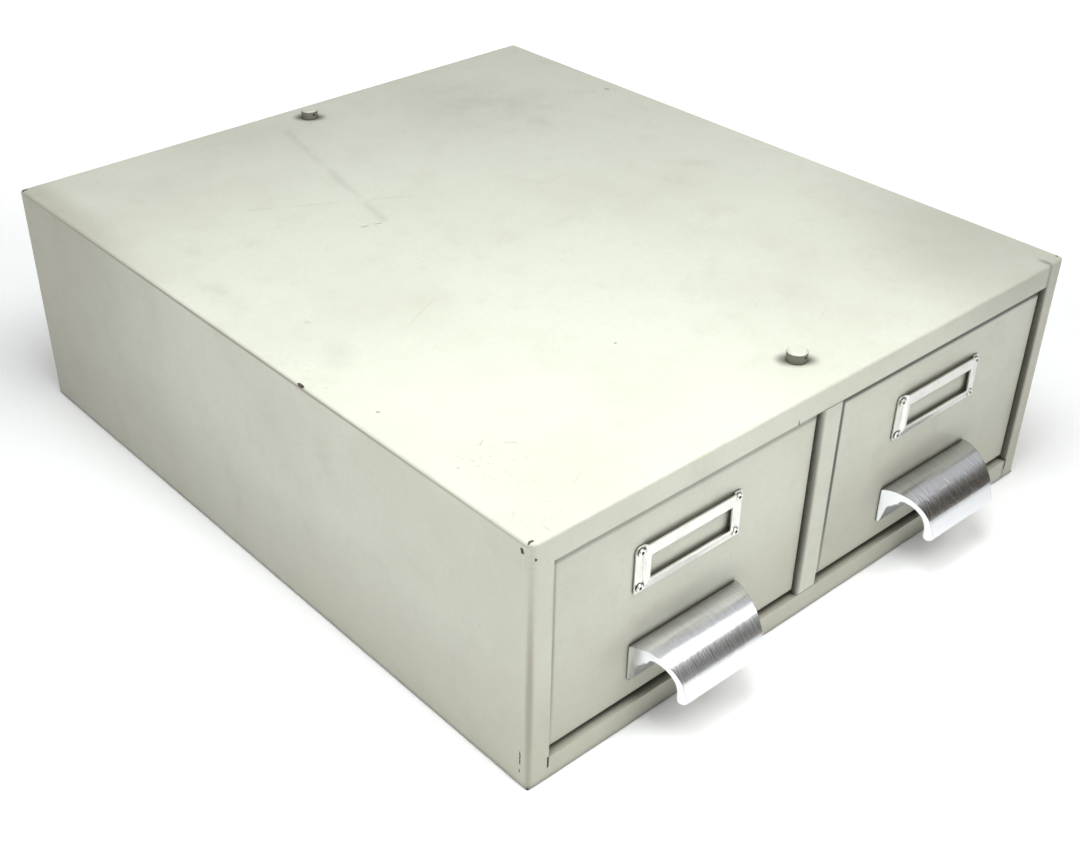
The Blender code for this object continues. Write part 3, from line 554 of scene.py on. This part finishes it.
def zinc_steel(name):
    """Dull zinc-plated steel with faint crystals, rolling lines and handling stains."""
    material, tree, shader = new_material(name)
    place = object_place(tree)
    rolled = noise_of(tree, stretched(tree, place, ROLLED_GRAIN), *ROLLED_NOISE)
    stain = noise_of(tree, place, *ZINC_NOISE)
    crystal = node(tree, "TexVoronoi", {"Vector": place, "Scale": CRYSTAL_SCALE}).outputs["Color"]
    tone = node(tree, "SeparateColor", {"Color": crystal}).outputs[0]
    colour = blend_colours(tree, between(tree, tone, *CRYSTAL_RANGE), ZINC, ZINC_CRYSTAL)
    colour = blend_colours(tree, between(tree, stain, *ZINC_RANGE), colour, ZINC_STAIN)
    rough = maths(
        tree, "ADD", between(tree, stain, *ZINC_DULL), between(tree, tone, *CRYSTAL_DULL)
    )
    normal = bump_of(tree, rolled, *ROLLED_BUMP, bump_of(tree, stain, *ZINC_BUMP))
    finish_shader(tree, shader, colour, rough, normal, metallic=1.0)
    return material


def studio_floor(name):
    """White paper: almost even, with a faint fibre; it gives off light of its own, faintly near the
    cabinet, where it lifts the shadows, and more far from it, so that it is evenly white there.
    """
    material, tree, shader = new_material(name)
    place = object_place(tree)
    fibre = noise_of(tree, place, *FIBRE_NOISE)
    broad = noise_of(tree, place, *SHEET_NOISE)
    colour = blend_colours(tree, between(tree, fibre, *FIBRE_RANGE), PAPER, PAPER_FIBRE)
    colour = blend_colours(tree, between(tree, broad, *SHEET_RANGE), colour, PAPER_SHADE)
    finish_shader(tree, shader, colour, PAPER_DULL, bump_of(tree, fibre, *FIBRE_BUMP))
    shader.inputs["Emission Color"].default_value = (*WHITE, 1.0)
    glow = between(tree, vectors(tree, "LENGTH", place), *GLOW_RANGE)
    feed(tree, shader.inputs["Emission Strength"], glow)
    return material


# ---------------------------------------------------------------- the cabinet


def dress(obj, material, bevel_width=0.0):
    """Gives a CAD node its material and, with a width, rounded edges and smooth curves."""
    mesh = obj.data
    mesh.materials.clear()
    mesh.materials.append(material)
    if not bevel_width:
        return
    if "custom_normal" in mesh.attributes:
        mesh.attributes.remove(mesh.attributes["custom_normal"])
    mesh.shade_smooth()
    weld = obj.modifiers.new("Weld", "WELD")
    weld.merge_threshold = WELD_REACH
    bevel = obj.modifiers.new("Bevel", "BEVEL")
    bevel.width = bevel_width
    bevel.segments = BEVEL_SEGMENTS
    bevel.limit_method = "ANGLE"
    bevel.angle_limit = BEVEL_ANGLE
    bevel.use_clamp_overlap = True
    bevel.harden_normals = False
    weighted = obj.modifiers.new("Weighted normals", "WEIGHTED_NORMAL")
    weighted.mode = "FACE_AREA"
    weighted.weight = NORMAL_WEIGHT


def shell_chips(low, high):
    """Where the shell's paint is chipped, as (middle, half sizes)."""
    left, front, top = low.x, low.y, high.z
    right, rear = high.x, high.y
    return [
        ((left + 0.0018, front + 0.0026, top), (0.0015, 0.0006, 0.0012)),
        ((left, front + 0.0051, top - 0.0048), (0.001, 0.0010, 0.0014)),
        ((left + 0.0024, front, top - 0.0071), (0.0006, 0.0006, 0.0009)),
        ((left, (front + rear) / 2 - 0.0569, top), (0.0012, 0.0030, 0.0012)),
        ((left, front + 0.0049, 0.0155), (0.0006, 0.0004, 0.0042)),
        ((left, front + 0.0052, 0.0082), (0.0006, 0.0004, 0.0012)),
        ((left + 0.0016, rear - 0.002, top), (0.0016, 0.0009, 0.001)),
        ((right - 0.0012, front + 0.0034, top), (0.0012, 0.0008, 0.001)),
        ((-0.0236, front, top - 0.0115), (0.00035, 0.0004, 0.0016)),
        ((left, front, 0.0), (0.0014, 0.0014, 0.0012)),
    ]


def shell_stains(low, high):
    """Soft stains on the shell's top, as (middle, half sizes, strength, colour)."""
    left, front, top = low.x, low.y, high.z
    return [
        ((left + 0.026, front + 0.049, top), (0.022, 0.015, 0.004), 0.22, ENAMEL_PINK),
        ((left + 0.026, -0.0425, top), (0.016, 0.022, 0.004), 0.18, SMUDGE),
        ((left + 0.017, 0.032, top), (0.012, 0.030, 0.004), 0.22, SMUDGE),
        ((0.092, 0.121, top), (0.05, 0.07, 0.004), 0.20, SMUDGE),
    ]


def shell_shades(low, high):
    """Evenly darkened parts of the shell, most of them painted shade, as (middle, half sizes, strength,
    colour).
    """
    left, front, top = low.x, low.y, high.z
    middle = (low.z + high.z) / 2
    jamb = high.x - SHELL_RIM
    return [
        LOW_DARKENING,
        # wear and a painted dark reflection down the front-left rounded corner
        ((left + 0.0008, front + 0.0008, 0.045), (0.0024, 0.0024, 0.085), 0.60, ENAMEL_EDGE_DARK),
        # a thin darker line along the top's left edge
        ((left, 0.0, top - 0.0016), (0.0010, 0.32, 0.0011), 0.80, ENAMEL_EDGE_DARK),
        # darker towards the rear of the left side
        ((left, high.y, top), (0.02, 0.16, 0.20), 0.42, ENAMEL_DARK),
        # darker down the right stile
        ((high.x - 0.004, front, 0.065), (0.012, 0.01, 0.09), 0.32, ENAMEL_DARK),
        # painted shade over the top's right-front corner
        ((high.x, front, top), (0.11, 0.16, 0.03), 0.42, CORNER_SHADE),
        # painted shade on the sill's top under the drawers
        ((0.0, front + 0.0055, SHELL_SILL), (0.26, 0.0055, 0.0008), 0.60, CREVICE_SHADE),
        # painted shade on the jambs' walls beside the drawers
        ((-jamb, front + 0.0045, middle), (0.0008, 0.0050, 0.09), 0.92, CREVICE_SHADE),
        ((jamb, front + 0.003, middle), (0.0030, 0.008, 0.12), 0.85, CREVICE_SHADE),
    ]


def shell_streaks(high):
    """Faint marks, short ticks and painted shadows on either side of each stud on the top, as (start, end,
    reach, strength, colour).
    """
    top = high.z
    streaks = [
        ((-0.0227, 0.176, top), (-0.0509, 0.047, top), 0.0042, 0.24, SMEAR),
        ((-0.0965, 0.102, top), (-0.0214, 0.060, top), 0.0018, 0.16, SMEAR),
        ((-0.0642, 0.048, top), (-0.0612, 0.047, top), 0.0008, 0.7, DARK_TICK_AND_SHADOW),
        ((-0.0572, 0.0465, top), (-0.0542, 0.0452, top), 0.0007, 0.7, DARK_TICK_AND_SHADOW),
        ((-0.1626, -0.095, top), (-0.1620, -0.0955, top), 0.0009, 1.0, DARK_TICK_AND_SHADOW),
        ((-0.0493, -0.1188, top), (-0.0491, -0.1190, top), 0.0010, 1.0, DARK_TICK_AND_SHADOW),
        ((0.1636, 0.1048, top), (0.1640, 0.1040, top), 0.0022, 1.0, ENAMEL_DARK),
        ((-0.1417, -0.014, top), (-0.1410, -0.015, top), 0.0014, 0.5, SMEAR),
        ((-0.1462, -0.141, top), (-0.1430, -0.139, top), 0.0006, 0.4, DARK_TICK_AND_SHADOW),
        ((-0.1380, -0.146, top), (-0.1340, -0.149, top), 0.0006, 0.4, DARK_TICK_AND_SHADOW),
    ]
    # painted shadows of each stud on the top, on its left and right
    for name in ("stud_front", "stud_rear"):
        stud_low, stud_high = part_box(name)
        foot = (stud_low + stud_high) / 2
        foot.z = top
        ends = foot - STUD_SHADOW, foot + STUD_SHADOW
        streaks.append((*ends, STUD_SHADOW_REACH, STUD_SHADOW_SHARE, DARK_TICK_AND_SHADOW))
    return streaks


def shell_scuffs(low, high):
    """Where the top's paint is finely scuffed, as (middle, half sizes, strength)."""
    left, front, top = low.x, low.y, high.z
    return [
        ((left + 0.022, front + 0.050, top), (0.026, 0.024, 0.004), 0.60),
        ((left + 0.012, front + 0.014, top), (0.024, 0.018, 0.004), 0.35),
        ((left + 0.006, -0.050, top), (0.008, 0.026, 0.004), 0.45),
        ((left + 0.016, 0.150, top), (0.012, 0.016, 0.004), 0.40),
        ((0.150, 0.105, top), (0.020, 0.016, 0.004), 0.40),
    ]


def face_shades(side):
    """A drawer face's darkening: towards the floor, painted shade along the edges that the frame overhangs,
    and a painted reflection of the pull above it.
    """
    low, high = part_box(f"drawer_{side}_front")
    pull_low, pull_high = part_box(f"pull_{side}")
    front = low.y
    gap = FACE_GAP_SHADE[side]
    return [
        LOW_DARKENING,
        # painted shadow along the left edge, where the frame overhangs
        ((low.x + FACE_OVERLAP[side], 0.0, 0.08), (0.0018, 2.0, 0.10), gap, CREVICE_SHADE),
        # painted shadow along the upper edge, under the top rail
        ((0.0, 0.0, high.z - 0.0023), (2.0, 2.0, 0.0029), gap, CREVICE_SHADE),
        # painted reflection of the pull in the face above it
        ((pull_low.x + 0.016, front, pull_high.z), (0.042, 0.02, 0.018), 0.34, SCUFF_AND_REFLECTION),
        ((pull_high.x - 0.022, front, pull_high.z), (0.036, 0.02, 0.018), 0.30, SCUFF_AND_REFLECTION),
    ]


def stile_shades():
    """The stile's two sides, darkened with painted shade behind its rounded front edges."""
    low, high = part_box("centre_stile")
    middle = (low.z + high.z) / 2
    left = ((low.x, low.y + 0.003, middle), (0.0034, 0.008, 0.12), 0.88, CREVICE_SHADE)
    right = ((high.x, low.y + 0.0042, middle), (0.0008, 0.0045, 0.09), 0.92, CREVICE_SHADE)
    return [left, right]


def dress_cabinet(nodes):
    low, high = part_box("shell")
    outer = enamel(
        "enamel_shell",
        chips=shell_chips(low, high),
        stains=shell_stains(low, high),
        shades=shell_shades(low, high),
        streaks=shell_streaks(high),
        scuffs=shell_scuffs(low, high),
    )
    inner = enamel("enamel_inside")
    stile = enamel("enamel_stile", shades=stile_shades())
    stud = enamel("enamel_stud", upright_shade=STUD_SIDE_SHADE)
    steel = zinc_steel("zinc_steel")
    plate = nickel("nickel_plate")
    metal = brushed_aluminium("brushed_aluminium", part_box("pull_left")[0].y + LIP_DEPTH)
    looks = {
        "shell": (outer, 0.0),
        "base_panel": (inner, 0.0),
        "back_panel": (inner, 0.0),
        "centre_stile": (stile, 0.0),
        "centre_runner": (steel, 0.0),
        "stud_front": (stud, PRESSED_BEVEL),
        "stud_rear": (stud, PRESSED_BEVEL),
        "stud_nut_front": (steel, BLOCK_BEVEL),
        "stud_nut_rear": (steel, BLOCK_BEVEL),
    }
    for side in SIDES:
        face = enamel(f"enamel_face_{side}", shades=face_shades(side))
        looks[f"side_runner_{side}"] = (steel, 0.0)
        looks[f"drawer_stop_{side}"] = (steel, 0.0)
        looks[f"drawer_{side}_front"] = (face, 0.0)
        looks[f"drawer_{side}_tray"] = (inner, 0.0)
        looks[f"label_holder_{side}"] = (plate, PRESSED_BEVEL)
        looks[f"pull_{side}"] = (metal, PULL_BEVEL)
        looks[f"follower_track_{side}"] = (steel, 0.0)
        looks[f"follower_{side}_plate"] = (inner, 0.0)
        looks[f"follower_{side}_shoe"] = (steel, BLOCK_BEVEL)
        looks[f"follower_{side}_rivet"] = (steel, 0.0)
        for number in (1, 2, 3, 4):
            looks[f"label_rivet_{side}_{number}"] = (plate, 0.0)
        for number in (1, 2):
            looks[f"pull_screw_{side}_{number}"] = (steel, 0.0)
    for name, (material, width) in looks.items():
        dress(nodes[name], material, width)


# ---------------------------------------------------------------- the studio


def direction(azimuth, elevation):
    across = math.cos(math.radians(elevation))
    return Vector(
        (
            across * math.cos(math.radians(azimuth)),
            across * math.sin(math.radians(azimuth)),
            math.sin(math.radians(elevation)),
        )
    )


def softbox(name, place, aim, size, power, colour):
    """A square area light at a place, turned to face its aim."""
    light = bpy.data.lights.new(name, "AREA")
    light.shape = "SQUARE"
    light.size = size
    light.energy = power
    light.color = colour
    obj = bpy.data.objects.new(name, light)
    bpy.context.scene.collection.objects.link(obj)
    obj.location = place
    obj.rotation_euler = (Vector(place) - Vector(aim)).to_track_quat("Z", "Y").to_euler()
    return obj


def light_cabinet():
    """Softboxes on both sides and over the top, small fills, and panels for the floor behind."""
    for name, place, aim, size, power, colour in LIGHTS:
        softbox(name, place, aim, size, power, colour)
    for number, (x, y) in enumerate(FLOOR_PANELS):
        over, under = (x, y, FLOOR_PANEL_HEIGHT), (x, y, 0.0)
        panel = softbox(f"panel_{number}", over, under, FLOOR_PANEL_WIDTH, FLOOR_PANEL_WATTS, PALE)
        panel.data.spread = FLOOR_PANEL_SPREAD


def light_room():
    """A dim room, white behind, that shiny surfaces mirror brighter overhead and dark low on the right."""
    world = bpy.data.worlds.new("studio")
    bpy.context.scene.world = world
    world.use_nodes = True
    tree = world.node_tree
    background = tree.nodes["Background"]
    way = node(tree, "TexCoord").outputs["Generated"]
    height = node(tree, "SeparateXYZ", {"Vector": way}).outputs["Z"]
    mirrored = blend_colours(tree, between(tree, height, *ROOM_RISE), ROOM_LOW, ROOM_HIGH)
    corner = vectors(tree, "DOT_PRODUCT", way, tuple(direction(*DARK_CORNER)))
    rim, full = (math.cos(math.radians(angle)) for angle in DARK_REACH)
    dark = between(tree, corner, rim, full)
    mirrored = blend_colours(tree, dark, mirrored, ROOM_DARK)
    path = node(tree, "LightPath").outputs
    colour = blend_colours(tree, path["Is Glossy Ray"], ROOM_DIM, mirrored)
    colour = blend_colours(tree, path["Is Camera Ray"], colour, WHITE)
    feed(tree, background.inputs["Color"], colour)
    background.inputs["Strength"].default_value = 1.0


def place_camera():
    camera = bpy.data.cameras.new("camera")
    camera.lens = CAMERA_LENS
    camera.sensor_width = CAMERA_SENSOR
    camera.sensor_fit = "HORIZONTAL"
    camera.shift_x, camera.shift_y = CAMERA_SHIFT
    camera.clip_start = CAMERA_NEAR
    obj = bpy.data.objects.new("camera", camera)
    bpy.context.scene.collection.objects.link(obj)
    turn = Matrix.Rotation(-CAMERA_HEADING, 4, "Z")
    tilt = Matrix.Rotation(math.pi / 2 - CAMERA_PITCH, 4, "X")
    roll = Matrix.Rotation(-CAMERA_ROLL, 4, "Z")
    obj.matrix_world = Matrix.Translation(CAMERA_PLACE) @ turn @ tilt @ roll
    bpy.context.scene.camera = obj


def lay_floor():
    mesh = bpy.data.meshes.new("floor")
    signs = ((-1, -1), (1, -1), (1, 1), (-1, 1))
    corners = [(x * FLOOR_HALF, y * FLOOR_HALF, 0) for x, y in signs]
    mesh.from_pydata(corners, [], [(0, 1, 2, 3)])
    floor = bpy.data.objects.new("floor", mesh)
    floor.location.z = -FLOOR_DROP
    bpy.context.scene.collection.objects.link(floor)
    mesh.materials.append(studio_floor("studio_floor"))


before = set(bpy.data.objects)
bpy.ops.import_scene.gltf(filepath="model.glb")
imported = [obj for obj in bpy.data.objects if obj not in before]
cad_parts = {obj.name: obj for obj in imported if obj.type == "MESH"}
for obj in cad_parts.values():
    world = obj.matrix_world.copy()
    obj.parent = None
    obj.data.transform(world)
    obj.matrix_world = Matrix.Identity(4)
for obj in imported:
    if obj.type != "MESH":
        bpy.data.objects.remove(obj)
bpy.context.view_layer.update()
dress_cabinet(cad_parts)
lay_floor()
light_room()
light_cabinet()
place_camera()
bpy.context.scene.view_settings.view_transform = "Standard"
